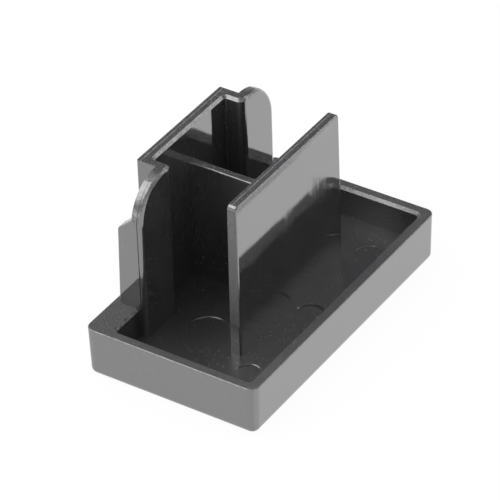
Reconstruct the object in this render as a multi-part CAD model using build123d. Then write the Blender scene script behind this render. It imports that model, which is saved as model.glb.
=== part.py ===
from build123d import *
import os

# Moulded end cap for a slotted profile, in millimetres.
# Origin: centre of the closed face. +Z: up the tongues. +Y: along the tray.
# +X: towards the side of the tray with the deep open channel.

# ---- tray ----
tray_width = 30.0
tray_length = 52.0
tray_height = 8.5
tray_corner_r = 1.5
tray_draft_deg = 1.5
closed_edge_r = 1.1
rim_outer_r = 0.2

# ---- pocket in the tray ----
floor_thick = 3.4
rim_wall = 1.9
ledge_width = 4.4
pocket_corner_r = 0.6
rim_chamfer = 0.45

# ---- tongues: shared sizes ----
tongue_top = 30.2
lip_chamfer = 0.45
edge_r = 0.2

# ---- front plate ----
plate_face = 5.15
plate_thick = 1.95
plate_width = 28.8
plate_draft_deg = 0.35
plate_corner_r = 0.8
plate_edge_r = 0.3

# ---- hat section: back, returns and wings ----
hat_inset = 0.65
hat_back_thick = 1.95
hat_width = 22.5
hat_return_thick = 1.7
hat_inner_r = 0.4
hat_mouth_r = 1.2
wing_face = -9.2
wing_thick = 1.75
wing_reach = 6.9
wing_corner_r = 6.6
wing_split = 0.5
wing_step = 0.12
wing_edge_r = 0.7

# ---- gussets that tie the wing ends to the ledge ----
gusset_thick = 1.9
gusset_inset = 1.1
gusset_lean = 0.4
gusset_low = 22.5
gusset_high = 24.7
gusset_corner_r = 0.9

# ---- web between the hat section and the front plate ----
web_thick = 1.3
web_top = 24.15

# ---- ejector pin marks on the pocket floor ----
mark_depth = 0.2
mark_edge = 0.12
small_mark_d = 4.0
small_mark_x = 8.2
small_mark_pitch = 17.2
large_mark_d = 6.5
large_mark_x = -2.6
large_mark_y = 11.6

# ---- derived positions ----
bury = 0.5
tray_back = -tray_width / 2
ledge_face = tray_back + ledge_width
pocket_front = tray_width / 2 - rim_wall
pocket_length = tray_length - 2 * rim_wall
pocket_depth = tray_height - floor_thick
hat_face = tray_back + hat_inset
hat_inside = hat_face + hat_back_thick
gusset_face = tray_back + gusset_inset
wing_back = wing_face - wing_thick
wing_end = hat_width / 2 + wing_reach
wing_seam = wing_face - wing_thick * wing_split
tongue_base = floor_thick - bury


def block(x0, x1, y0, y1, z0, z1):
    """A box given by its limits on each axis."""
    size = Box(x1 - x0, y1 - y0, z1 - z0)
    return Pos((x0 + x1) / 2, (y0 + y1) / 2, (z0 + z1) / 2) * size


def edges_at(solid, axis, value):
    """The edges of a solid whose centre has this value on an axis."""
    picked = []
    for edge in solid.edges():
        centre = edge.center()
        place = {"X": centre.X, "Y": centre.Y, "Z": centre.Z}[axis]
        if abs(place - value) < 1e-3:
            picked.append(edge)
    return picked


def tray():
    """The shallow tray: drafted outside, rounded closed face, pocket off centre."""
    outline = RectangleRounded(tray_width, tray_length, tray_corner_r)
    body = extrude(Pos(0, 0, tray_height) * outline, -tray_height, taper=tray_draft_deg)
    body = fillet(edges_at(body, "Z", 0.0), closed_edge_r)
    body = fillet(edges_at(body, "Z", tray_height), rim_outer_r)
    mouth = RectangleRounded(pocket_front - ledge_face, pocket_length, pocket_corner_r)
    centre_x = (pocket_front + ledge_face) / 2
    pocket = extrude(Pos(centre_x, 0, tray_height) * mouth, -pocket_depth)
    body = body - pocket
    lip = [e for e in edges_at(body, "Z", tray_height) if ledge_face - 0.1 < e.center().X]
    lip = [e for e in lip if e.center().X < pocket_front + 0.1]
    lip = [e for e in lip if abs(e.center().Y) < pocket_length / 2 + 0.1]
    return chamfer(lip, rim_chamfer)


def front_plate():
    """The flat tongue that faces the open channel, drafted on all four sides."""
    foot = Pos(plate_face - plate_thick / 2, 0, tongue_base) * Rectangle(plate_thick, plate_width)
    plate = extrude(foot, tongue_top - tongue_base, taper=plate_draft_deg)
    near_end = plate_width / 2 - plate_corner_r
    corners = [e for e in edges_at(plate, "Z", tongue_top) if abs(e.center().Y) > near_end]
    plate = fillet(corners, plate_corner_r)
    middle = plate_face - plate_thick / 2
    raised = [e for e in plate.edges() if e.center().Z > floor_thick]
    front = [e for e in raised if e.center().X > middle + plate_thick / 4]
    plate = fillet(front, plate_edge_r)
    raised = [e for e in plate.edges() if e.center().Z > floor_thick]
    rear = [e for e in raised if e.center().X < middle - plate_thick / 4]
    return fillet(rear, edge_r)


def hat_box():
    """The U of the hat section: back and two returns, chamfered round its inner lip."""
    outer = Pos((hat_face + wing_face) / 2, 0) * Rectangle(wing_face - hat_face, hat_width)
    outer = fillet(outer.vertices().sort_by(Axis.X)[:2], edge_r)
    inner_len = hat_width - 2 * hat_return_thick
    hollow = Pos((hat_inside + wing_face) / 2 + bury, 0) * Rectangle(
        wing_face - hat_inside + 2 * bury, inner_len
    )
    plan = outer - hollow
    inner = [v for v in plan.vertices() if abs(abs(v.Y) - inner_len / 2) < 0.01]
    plan = fillet([v for v in inner if v.X < hat_inside + 0.1], hat_inner_r)
    inner = [v for v in plan.vertices() if abs(abs(v.Y) - inner_len / 2) < 0.01]
    plan = fillet([v for v in inner if v.X > wing_face - 0.1], hat_mouth_r)
    body = extrude(Pos(0, 0, tongue_base) * plan, tongue_top - tongue_base)
    top = edges_at(body, "Z", tongue_top)
    lip = [e for e in top if hat_face + 0.5 < e.center().X < wing_face - 0.1]
    lip = [e for e in lip if abs(e.center().Y) < hat_width / 2 - 0.3]
    return chamfer(lip, lip_chamfer)


def wing_half(x0, x1, end):
    """Half of a +Y wing's thickness, ending in the quarter-round top corner."""
    body = block(x0, x1, hat_width / 2 - bury, end, tongue_base, tongue_top)
    corner = [e for e in edges_at(body, "Z", tongue_top) if e.center().Y > end - 0.1]
    return fillet(corner, wing_corner_r)


def wing():
    """One wing on the +Y side: two halves with a fine step between their ends."""
    rear = wing_half(wing_back, wing_seam, wing_end)
    front = wing_half(wing_seam, wing_face, wing_end - wing_step)
    rim = [e for e in edges_at(front, "X", wing_face) if e.center().Y > hat_width / 2 + 0.5]
    rim = [e for e in rim if e.center().Z > floor_thick]
    return rear + fillet(rim, wing_edge_r)


def gusset():
    """One sloping gusset on the +Y side, standing on the ledge."""
    profile = Polygon(
        (gusset_face, tray_height - bury), (wing_back + bury, tray_height - bury),
        (wing_back + bury, gusset_high), (wing_back, gusset_high),
        (gusset_face + gusset_lean, gusset_low), align=None,
    )
    corner = [v for v in profile.vertices() if abs(v.Y - gusset_low) < 0.1]
    profile = fillet(corner, gusset_corner_r)
    plane = Plane(origin=(0, wing_end, 0), x_dir=(1, 0, 0), z_dir=(0, -1, 0))
    body = extrude(plane * profile, gusset_thick)
    upright = [e for e in body.edges() if e.center().X < gusset_face + gusset_lean]
    upright = [e for e in upright if tray_height < e.center().Z < gusset_low - gusset_corner_r]
    outer = [e for e in upright if abs(e.center().Y - wing_end + gusset_thick / 2) > 0.1]
    return fillet(outer, edge_r)


def web():
    """The straight web at mid-length."""
    body = block(
        hat_inside - bury, plate_face - plate_thick + bury,
        -web_thick / 2, web_thick / 2, tongue_base, web_top,
    )
    crest = [e for e in edges_at(body, "Z", web_top) if abs(e.center().Y) > 0.1]
    return fillet(crest, edge_r)


def hat_well():
    """The pocket's deep part inside the hat section, which cuts through the ledge."""
    half = hat_width / 2 - hat_return_thick
    return block(hat_inside, ledge_face + bury, -half, half, floor_thick, tray_height + bury)


def mark(x, y, diameter):
    """A shallow round ejector pin mark in the pocket floor, with a broken edge."""
    sunk = Pos(x, y, floor_thick) * Cylinder(diameter / 2, 2 * mark_depth)
    flare = Cone(diameter / 2, diameter / 2 + 2 * mark_edge, 2 * mark_edge)
    return sunk + Pos(x, y, floor_thick) * flare


cap = tray() - hat_well() + front_plate() + hat_box() + web()
for side in (wing(), gusset()):
    cap = cap + side + mirror(side, about=Plane.XZ)
for step in (-1, 0, 1):
    cap = cap - mark(small_mark_x, step * small_mark_pitch, small_mark_d)
for sign in (-1, 1):
    cap = cap - mark(large_mark_x, sign * large_mark_y, large_mark_d)

os.makedirs("parts", exist_ok=True)
cap.label = "end_cap"
export_step(cap, "parts/end_cap.step")
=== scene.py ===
"""Looks of a black moulded profile end cap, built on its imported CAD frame. Metres."""
import math

import bpy
import numpy as np
from mathutils import Matrix, Vector


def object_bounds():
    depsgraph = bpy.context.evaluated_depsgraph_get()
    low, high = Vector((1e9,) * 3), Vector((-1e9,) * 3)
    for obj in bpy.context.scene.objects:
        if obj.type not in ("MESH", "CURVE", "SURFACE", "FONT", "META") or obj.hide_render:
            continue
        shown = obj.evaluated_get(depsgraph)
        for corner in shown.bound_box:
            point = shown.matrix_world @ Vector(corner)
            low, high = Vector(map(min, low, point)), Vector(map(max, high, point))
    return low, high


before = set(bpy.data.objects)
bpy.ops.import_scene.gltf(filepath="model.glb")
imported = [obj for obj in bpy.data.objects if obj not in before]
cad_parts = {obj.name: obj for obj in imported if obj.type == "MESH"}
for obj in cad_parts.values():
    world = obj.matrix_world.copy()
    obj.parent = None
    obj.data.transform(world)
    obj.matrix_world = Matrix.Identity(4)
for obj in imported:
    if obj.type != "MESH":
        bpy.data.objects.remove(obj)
cad_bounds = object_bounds()

# ---- camera: a long lens, looking down at the open side of the tray ----
CAMERA_AZIMUTH = 33.826
CAMERA_ELEVATION = 36.327
CAMERA_ROLL = -1.919
CAMERA_DISTANCE = 0.56404
CAMERA_TARGET = (-0.010683, 0.012500, 0.0)
CAMERA_LENS = 259.83

# ---- plastic: colour and gloss ----
PLASTIC_BLACK = (0.0220, 0.0220, 0.0226, 1.0)
PLASTIC_BLOOM = (0.0330, 0.0330, 0.0342, 1.0)
# pale colour for the dust, and for the painted edge highlights and painted glints
PLASTIC_DUST_AND_HIGHLIGHT = (0.4500, 0.4500, 0.4620, 1.0)
PLASTIC_IOR = 1.95
PLASTIC_SPECULAR = 1.0
COAT_IOR = 1.5
COAT_ROUGHNESS = 0.06
COAT_WEIGHT = 0.8

# ---- plastic: roughness of each finish, and what is added to it ----
POLISHED = 0.045
SATIN = 0.18
SPARKED = 0.26
DULL_END = 0.22
POLISH_WANDER = 0.06
DRAWN = 0.06

# ---- plastic: relief, micrometres, and the size of its grain, millimetres ----
GRAIN_MM = 0.22
GRAIN_UM = 75.0
LINES_UM = 30.0
SWELL_UM = 50.0
MICROMETRE = 0.000001

# ---- plastic: patterns, in repeats per metre (one value, or one for each axis) ----
DRAW_LINES = (2600.0, 2600.0, 60.0)
DRAW_PATCHES = (140.0, 140.0, 70.0)
POLISH_PATCHES = (700.0, 700.0, 90.0)
SWELLS = 120.0
MOTES = 1500.0
MOTE_DRIFTS = 160.0
BLOOMS = 220.0
# patches that break up the painted edge highlights
HIGHLIGHT_PATCHES = 1400.0

# ---- plastic: gain and offset that turn a noise into patches, painted glints and motes ----
DRAW_PATCH_EDGE = (7.0, -3.3)
# painted glints: gain and offset that pick the peaks of the fine spark noise
GLINT_EDGE = (8.0, -4.6)
# gain and offset of the patches of the painted edge highlights
HIGHLIGHT_PATCH_EDGE = (3.2, -1.1)
MOTE_REACH = (0.34, -0.07)

# ---- plastic: shares: 0 for none, 1 for full, more where it is laid on thicker ----
LINES_BETWEEN = 0.15
# share of the painted edge highlights left between their patches
HIGHLIGHT_BETWEEN = 0.2
CRATERS = 0.6
FLOOR_GRAIN = 0.38
SLOPE_GRAIN = 0.3
END_GRAIN = 1.5
# painted highlights along the edges: their share on the floor, then their overall share of the
# pale colour
FLOOR_HIGHLIGHT = 0.3
PAINTED_HIGHLIGHT = 0.42
# painted glints: share of pale specks on the sparked areas, standing in for the sparkle of their
# grain
PAINTED_GLINTS = 0.26
DUSTED = 0.28

# ---- plastic: where the finishes lie, metres, and the normals that tell them apart ----
LEVEL_NORMAL = 0.9
WALL_NORMAL = 0.3
AXIS_NORMAL = 0.75
RIM_HEIGHT = 0.0085
ABOVE_RIM = RIM_HEIGHT + 0.0001
FLOOR_BELOW = RIM_HEIGHT - 0.001
TONGUE_TOP = cad_bounds[1][2]
TOP_SKIN = 0.0002
CREST_DEPTH = 0.0013
CREST_RISE = 900.0  # gain per metre of height
TONGUE_END = 0.013
PLATE_FACE = 0.0045
# painted highlight lines: x of the rear edges of the hat section's top and the plate's top, then
# each line's width, turns and start
HIGHLIGHT_LINE_REARS = (-0.01435, 0.00337)
HIGHLIGHT_WIDTH = 0.00078
HIGHLIGHT_WAVES = 1.25  # turns of the cosine over that width
HIGHLIGHT_START = 0.001  # share of that width

# ---- light ----
DOME_LIGHT = 0.9
ROOM_MIRROR = 0.11
ROOM_BAND = (0.30, 0.70)
GROUND_MIRROR = 0.60
ZENITH_MIRROR = 0.30
MIRROR_BLUE = 1.06
FLOOR_GREY = 0.9
FLOOR_GLOW = 0.95
FLOOR_SIDE = 6.0
LAMP_AIM = (0.0, 0.0, 0.02)


# ---------------------------------------------------------------- node helpers
def give(tree, socket, value):
    """Feeds an input socket: links it when value is a socket, else sets it."""
    if isinstance(value, bpy.types.NodeSocket):
        tree.links.new(value, socket)
    else:
        socket.default_value = value


def math_node(tree, operation, a, b=None, c=None, clamp=False):
    """A math node whose inputs are numbers or sockets; returns its result socket."""
    node = tree.nodes.new("ShaderNodeMath")
    node.operation = operation
    node.use_clamp = clamp
    for slot, value in enumerate((a, b, c)):
        if value is not None:
            give(tree, node.inputs[slot], value)
    return node.outputs[0]


def product(tree, first, *others):
    """The product of two or more numbers or sockets."""
    for other in others:
        first = math_node(tree, "MULTIPLY", first, other)
    return first


def threshold(tree, value, gain, offset):
    """A soft threshold: value times gain plus offset, held between 0 and 1."""
    return math_node(tree, "MULTIPLY_ADD", value, gain, offset, clamp=True)


def mixed(tree, share, low, high):
    """A colour mix, low where share is 0 and high where it is 1; returns its colour."""
    node = tree.nodes.new("ShaderNodeMix")
    node.data_type = "RGBA"
    for slot, value in ((0, share), (6, low), (7, high)):
        give(tree, node.inputs[slot], value)
    return node.outputs[2]


def stretched(tree, vector, scale):
    """The vector multiplied by a per-axis scale."""
    node = tree.nodes.new("ShaderNodeMapping")
    node.inputs["Scale"].default_value = scale
    tree.links.new(vector, node.inputs["Vector"])
    return node.outputs[0]


def noise(tree, vector, scale, detail, roughness=0.5):
    """Fractal noise of a vector; returns its value socket, about 0.5 on average."""
    node = tree.nodes.new("ShaderNodeTexNoise")
    node.inputs["Detail"].default_value = detail
    node.inputs["Roughness"].default_value = roughness
    give(tree, node.inputs["Scale"], scale)
    tree.links.new(vector, node.inputs["Vector"])
    return node.outputs["Fac"]


def point_distance(tree, vector, scale):
    """Distance to the nearest of scattered points, scale of them to a metre."""
    node = tree.nodes.new("ShaderNodeTexVoronoi")
    give(tree, node.inputs["Scale"], scale)
    tree.links.new(vector, node.inputs["Vector"])
    return node.outputs["Distance"]


def separated(tree, vector):
    """The x, y and z sockets of a vector."""
    node = tree.nodes.new("ShaderNodeSeparateXYZ")
    tree.links.new(vector, node.inputs[0])
    return node.outputs[0], node.outputs[1], node.outputs[2]


def placed(tree, group, label, vector):
    """A shader group's node, with a vector on its named input; returns its outputs."""
    node = tree.nodes.new("ShaderNodeGroup")
    node.node_tree = group
    tree.links.new(vector, node.inputs[label])
    return node.outputs


# ---------------------------------------------------------------- shader groups
def new_group(name, inputs, outputs):
    """An empty shader group: inputs are (name, default), None for a vector; outputs are
    names of float outputs."""
    group = bpy.data.node_groups.new(name, "ShaderNodeTree")
    for label, value in inputs:
        kind = "NodeSocketVector" if value is None else "NodeSocketFloat"
        socket = group.interface.new_socket(label, in_out="INPUT", socket_type=kind)
        if value is not None:
            socket.default_value = value
    for label in outputs:
        group.interface.new_socket(label, in_out="OUTPUT", socket_type="NodeSocketFloat")
    return group, group.nodes.new("NodeGroupInput"), group.nodes.new("NodeGroupOutput")


def facing_group():
    """Masks from the surface normal: up for |nz| above LEVEL_NORMAL, wall for |nz| below
    WALL_NORMAL, end for walls that face along Y, side for walls that face along X, and
    edge for the slopes between."""
    group, source, sink = new_group(
        "facing", [("Normal", None)], ("Up", "End", "Side", "Wall", "Edge")
    )
    nx, ny, nz = (
        math_node(group, "ABSOLUTE", part) for part in separated(group, source.outputs["Normal"])
    )
    up = math_node(group, "GREATER_THAN", nz, LEVEL_NORMAL)
    wall = math_node(group, "LESS_THAN", nz, WALL_NORMAL)
    masks = {
        "Up": up,
        "End": product(group, wall, math_node(group, "GREATER_THAN", ny, AXIS_NORMAL)),
        "Side": product(group, wall, math_node(group, "GREATER_THAN", nx, AXIS_NORMAL)),
        "Wall": wall,
        "Edge": math_node(group, "SUBTRACT", math_node(group, "SUBTRACT", 1.0, up), wall),
    }
    for name, mask in masks.items():
        group.links.new(mask, sink.inputs[name])
    return group


def draw_group():
    """Draw marks, where a wall slid out of the mould: lines along Z, as noise stretched
    forty-fold along Z and strong only in slow patches; swell, a slow wave of the polished
    wall; and polish, a wander of its gloss stretched eight-fold along Z."""
    group, source, sink = new_group(
        "draw_marks", [("Vector", None)], ("Lines", "Swell", "Polish")
    )
    vector = source.outputs["Vector"]
    lines = noise(group, stretched(group, vector, DRAW_LINES), 1.0, 2.0, 0.6)
    patch = noise(group, stretched(group, vector, DRAW_PATCHES), 1.0, 1.0)
    patch = threshold(group, patch, *DRAW_PATCH_EDGE)
    strength = math_node(group, "MULTIPLY_ADD", patch, 1.0 - LINES_BETWEEN, LINES_BETWEEN)
    lines = product(group, lines, strength)
    swell = noise(group, vector, SWELLS, 1.0)
    polish = noise(group, stretched(group, vector, POLISH_PATCHES), 1.0, 2.0)
    group.links.new(lines, sink.inputs["Lines"])
    group.links.new(swell, sink.inputs["Swell"])
    group.links.new(polish, sink.inputs["Polish"])
    return group


def spark_group():
    """Spark-erosion texture: round craters, a share of the distance to scattered points,
    plus fine noise; painted glints, pale specks where that noise peaks; and dust, small
    balls about points two thirds of a millimetre apart, cut by the surface and larger in
    slow drifts."""
    group, source, sink = new_group(
        "spark_texture", [("Vector", None), ("Grain mm", GRAIN_MM)], ("Height", "Glints", "Dust")
    )
    vector = source.outputs["Vector"]
    scale = math_node(group, "DIVIDE", 1000.0, source.outputs["Grain mm"])
    fine = noise(group, vector, scale, 3.0)
    height = math_node(group, "MULTIPLY_ADD", point_distance(group, vector, scale), CRATERS, fine)
    # painted glints: pale specks where the fine noise peaks
    glints = threshold(group, fine, *GLINT_EDGE)
    reach = noise(group, vector, MOTE_DRIFTS, 2.0)
    reach = math_node(group, "MULTIPLY_ADD", reach, *MOTE_REACH)
    dust = math_node(group, "LESS_THAN", point_distance(group, vector, MOTES), reach)
    group.links.new(height, sink.inputs["Height"])
    group.links.new(glints, sink.inputs["Glints"])
    group.links.new(dust, sink.inputs["Dust"])
    return group


# ---------------------------------------------------------------- materials
def finish_masks(tree, place, facing):
    """Where each finish lies, from the place on the part and the way that it faces.

    skirt is the whole tray, up to the rim's top, and floor all of it that lies a
    millimetre or more below that; walls are those above the rim, and polished the ones
    that face along X; dull are the plate's narrow ends, the web's flanks and the hat
    section's sides; sparked is what is level or slopes, less so on the floor, with the
    plate's narrow ends and the crest, a band along the top of the plate's front."""
    x, y, z = separated(tree, place)
    above = math_node(tree, "GREATER_THAN", z, ABOVE_RIM)
    floor = math_node(tree, "LESS_THAN", z, FLOOR_BELOW)
    ends = product(tree, facing["End"], above)
    plate_end = product(tree, ends, math_node(tree, "GREATER_THAN", x, 0.0))
    inward = math_node(tree, "LESS_THAN", math_node(tree, "ABSOLUTE", y), TONGUE_END)
    level = math_node(tree, "MULTIPLY_ADD", floor, FLOOR_GRAIN - 1.0, 1.0)
    level = product(tree, facing["Up"], level)
    slopes = math_node(tree, "MULTIPLY_ADD", facing["Edge"], SLOPE_GRAIN, level)
    crest = threshold(tree, z, CREST_RISE, -CREST_RISE * (TONGUE_TOP - CREST_DEPTH))
    front = math_node(tree, "GREATER_THAN", x, PLATE_FACE)
    crest = product(tree, crest, front, facing["Side"])
    sparked = math_node(tree, "MULTIPLY_ADD", plate_end, END_GRAIN, slopes)
    return {
        "skirt": math_node(tree, "SUBTRACT", 1.0, above),
        "floor": floor,
        "walls": product(tree, facing["Wall"], above),
        "polished": product(tree, facing["Side"], above),
        "dull": math_node(tree, "ADD", product(tree, ends, inward), plate_end),
        "sparked": math_node(tree, "MULTIPLY_ADD", crest, END_GRAIN, sparked),
    }


def painted_highlight_mask(tree, place, facing, floor):
    """Painted highlights along edges, pale colour standing in for the catch-lights of fillets:
    the slopes, less on the floor, and two painted highlight lines along the rear of the
    plate's top and of the hat section's top. Across x a line is the cosine of one and a
    quarter turns over the line's width, with its negative part cut off, and none where the
    turn hasn't started. Small patches break all of it up."""
    x, _, z = separated(tree, place)
    edge = math_node(tree, "MULTIPLY_ADD", floor, FLOOR_HIGHLIGHT - 1.0, 1.0)
    edge = product(tree, facing["Edge"], edge)
    top = math_node(tree, "GREATER_THAN", z, TONGUE_TOP - TOP_SKIN)
    for rear in HIGHLIGHT_LINE_REARS:
        phase = math_node(tree, "SUBTRACT", x, rear)
        phase = math_node(tree, "DIVIDE", phase, HIGHLIGHT_WIDTH, clamp=True)
        turn = product(tree, phase, HIGHLIGHT_WAVES * math.tau)
        line = math_node(tree, "COSINE", turn, clamp=True)
        line = product(tree, line, math_node(tree, "GREATER_THAN", phase, HIGHLIGHT_START), top)
        edge = math_node(tree, "MAXIMUM", edge, line)
    patches = threshold(tree, noise(tree, place, HIGHLIGHT_PATCHES, 3.0, 0.7), *HIGHLIGHT_PATCH_EDGE)
    strength = math_node(tree, "MULTIPLY_ADD", patches, 1.0 - HIGHLIGHT_BETWEEN, HIGHLIGHT_BETWEEN)
    return product(tree, edge, strength)


def cap_plastic():
    """Black moulded plastic: polished walls with draw marks, a satin tray outside, and
    sparked tops and plate ends. Its colour has a pale bloom in slow patches, painted
    highlights along the edges, painted glints on the sparked areas, and dust."""
    material = bpy.data.materials.new("cap_plastic")
    material.use_nodes = True
    tree = material.node_tree
    tree.nodes.clear()
    out = tree.nodes.new("ShaderNodeOutputMaterial")
    skin = tree.nodes.new("ShaderNodeBsdfPrincipled")
    tree.links.new(skin.outputs[0], out.inputs["Surface"])
    skin.inputs["IOR"].default_value = PLASTIC_IOR
    skin.inputs["Specular IOR Level"].default_value = PLASTIC_SPECULAR
    skin.inputs["Coat IOR"].default_value = COAT_IOR
    skin.inputs["Coat Roughness"].default_value = COAT_ROUGHNESS

    place = tree.nodes.new("ShaderNodeTexCoord").outputs["Object"]
    normal = tree.nodes.new("ShaderNodeNewGeometry").outputs["True Normal"]
    facing = placed(tree, facing_group(), "Normal", normal)
    draw = placed(tree, draw_group(), "Vector", place)
    spark = placed(tree, spark_group(), "Vector", place)
    masks = finish_masks(tree, place, facing)
    lines = product(tree, masks["walls"], draw["Lines"])
    tree.links.new(product(tree, facing["Side"], COAT_WEIGHT), skin.inputs["Coat Weight"])

    least = POLISHED - POLISH_WANDER / 2
    rough = math_node(tree, "MULTIPLY_ADD", draw["Polish"], POLISH_WANDER, least)
    for mask, added in (
        (masks["skirt"], SATIN - POLISHED),
        (masks["sparked"], SPARKED - POLISHED),
        (masks["dull"], DULL_END),
        (lines, DRAWN),
    ):
        rough = math_node(tree, "MULTIPLY_ADD", mask, added, rough)
    tree.links.new(rough, skin.inputs["Roughness"])

    bloom = mixed(tree, noise(tree, place, BLOOMS, 5.0, 0.6), PLASTIC_BLACK, PLASTIC_BLOOM)
    # painted glints on the sparked areas
    glints = product(tree, masks["sparked"], spark["Glints"], PAINTED_GLINTS)
    # painted highlights along the edges and the rear top lines, standing in for fillet
    # catch-lights
    highlights = painted_highlight_mask(tree, place, facing, masks["floor"])
    # share of the pale colour: painted edge highlights and painted glints, with real dust
    dust_and_highlights = math_node(tree, "MULTIPLY_ADD", highlights, PAINTED_HIGHLIGHT, glints)
    dust_and_highlights = math_node(tree, "MAXIMUM", dust_and_highlights, product(tree, spark["Dust"], DUSTED))
    tree.links.new(mixed(tree, dust_and_highlights, bloom, PLASTIC_DUST_AND_HIGHLIGHT), skin.inputs["Base Color"])

    # relief: spark grain, draw lines and the slow swell of the polished sides
    height = product(tree, masks["sparked"], spark["Height"], GRAIN_UM)
    height = math_node(tree, "MULTIPLY_ADD", lines, LINES_UM, height)
    swell = product(tree, masks["polished"], draw["Swell"])
    height = math_node(tree, "MULTIPLY_ADD", swell, SWELL_UM, height)
    bump = tree.nodes.new("ShaderNodeBump")
    bump.inputs["Strength"].default_value = 1.0
    bump.inputs["Distance"].default_value = MICROMETRE
    tree.links.new(height, bump.inputs["Height"])
    tree.links.new(bump.outputs[0], skin.inputs["Normal"])
    return material


def floor_material():
    """Pale floor: shows white to the camera and to mirror rays, keeps a soft shadow."""
    material = bpy.data.materials.new("pale_floor")
    material.use_nodes = True
    tree = material.node_tree
    tree.nodes.clear()
    out = tree.nodes.new("ShaderNodeOutputMaterial")
    matt = tree.nodes.new("ShaderNodeBsdfDiffuse")
    matt.inputs["Color"].default_value = (FLOOR_GREY, FLOOR_GREY, FLOOR_GREY, 1.0)
    glow = tree.nodes.new("ShaderNodeEmission")
    glow.inputs["Strength"].default_value = 1.0
    mix = tree.nodes.new("ShaderNodeMixShader")
    path = tree.nodes.new("ShaderNodeLightPath")
    seen = math_node(tree, "MAXIMUM", path.outputs["Is Camera Ray"], path.outputs["Is Glossy Ray"])
    seen = math_node(tree, "MAXIMUM", seen, path.outputs["Is Transmission Ray"])
    tree.links.new(product(tree, seen, FLOOR_GLOW), mix.inputs[0])
    tree.links.new(matt.outputs[0], mix.inputs[1])
    tree.links.new(glow.outputs[0], mix.inputs[2])
    tree.links.new(mix.outputs[0], out.inputs["Surface"])
    return material


# ---------------------------------------------------------------- stage
def sheet_object(name, side, height, material):
    """A level square at z = height, its corners at plus and minus half the side."""
    half = side / 2
    u, v = np.meshgrid([-half, half], [-half, half])
    points = np.stack([u.ravel(), v.ravel(), np.full(4, height)], axis=1)
    mesh = bpy.data.meshes.new(name)
    mesh.from_pydata(points.tolist(), [], [(0, 1, 3, 2)])
    mesh.materials.append(material)
    thing = bpy.data.objects.new(name, mesh)
    bpy.context.scene.collection.objects.link(thing)


def studio_world():
    """White to the camera, a dim room to mirror rays, an even white dome for soft light."""
    world = bpy.data.worlds.new("studio")
    bpy.context.scene.world = world
    world.use_nodes = True
    tree = world.node_tree
    tree.nodes.clear()
    out = tree.nodes.new("ShaderNodeOutputWorld")
    shade = tree.nodes.new("ShaderNodeBackground")
    path = tree.nodes.new("ShaderNodeLightPath")
    _, _, rise = separated(tree, tree.nodes.new("ShaderNodeTexCoord").outputs["Generated"])
    ramp = tree.nodes.new("ShaderNodeValToRGB")
    low, high = ROOM_BAND
    stops = ((0.0, GROUND_MIRROR), (low, ROOM_MIRROR), (high, ROOM_MIRROR), (1.0, ZENITH_MIRROR))
    elements = ramp.color_ramp.elements
    elements[0].position = stops[0][0]
    elements[1].position = stops[-1][0]
    for position, _ in stops[1:-1]:
        elements.new(position)
    for element, (_, grey) in zip(elements, stops):
        element.color = (grey, grey, grey * MIRROR_BLUE, 1.0)
    tree.links.new(rise, ramp.inputs[0])
    dome = (DOME_LIGHT, DOME_LIGHT, DOME_LIGHT, 1.0)
    colour = mixed(tree, path.outputs["Is Glossy Ray"], dome, ramp.outputs[0])
    colour = mixed(tree, path.outputs["Is Camera Ray"], colour, (1.0, 1.0, 1.0, 1.0))
    tree.links.new(colour, shade.inputs["Color"])
    tree.links.new(shade.outputs[0], out.inputs["Surface"])


def softbox(name, place, size, power):
    """A square lamp of the given side, at place, facing the part."""
    data = bpy.data.lights.new(name, "AREA")
    data.shape = "SQUARE"
    data.size = size
    data.energy = power
    lamp = bpy.data.objects.new(name, data)
    bpy.context.scene.collection.objects.link(lamp)
    lamp.location = place
    lamp.rotation_euler = (Vector(LAMP_AIM) - Vector(place)).to_track_quat("-Z", "Y").to_euler()


def camera():
    """Puts the camera on its bearing: azimuth from -Y towards +X, then elevation, then roll."""
    az, el = math.radians(CAMERA_AZIMUTH), math.radians(CAMERA_ELEVATION)
    roll = math.radians(CAMERA_ROLL)
    back = Vector((math.sin(az) * math.cos(el), -math.cos(az) * math.cos(el), math.sin(el)))
    right = Vector((math.cos(az), math.sin(az), 0.0))
    up = back.cross(right)
    turned_right = right * math.cos(roll) + up * math.sin(roll)
    turned_up = up * math.cos(roll) - right * math.sin(roll)
    data = bpy.data.cameras.new("camera")
    data.lens = CAMERA_LENS
    data.sensor_width = 36.0
    data.clip_start = 0.01
    data.clip_end = 20.0
    thing = bpy.data.objects.new("camera", data)
    bpy.context.scene.collection.objects.link(thing)
    turn = Matrix((turned_right, turned_up, back)).transposed().to_4x4()
    place = Vector(CAMERA_TARGET) + back * CAMERA_DISTANCE
    thing.matrix_world = Matrix.Translation(place) @ turn
    bpy.context.scene.camera = thing


bpy.context.scene.view_settings.view_transform = "Standard"
camera()
studio_world()
sheet_object("floor", side=FLOOR_SIDE, height=0.0, material=floor_material())
softbox("strip_right", place=(0.35, 0.41, 0.27), size=0.20, power=0.16)
softbox("canopy", place=(-0.27, -0.18, 0.51), size=0.60, power=2.00)

finish = cap_plastic()
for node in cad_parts.values():
    for slot in node.material_slots:
        slot.material = finish
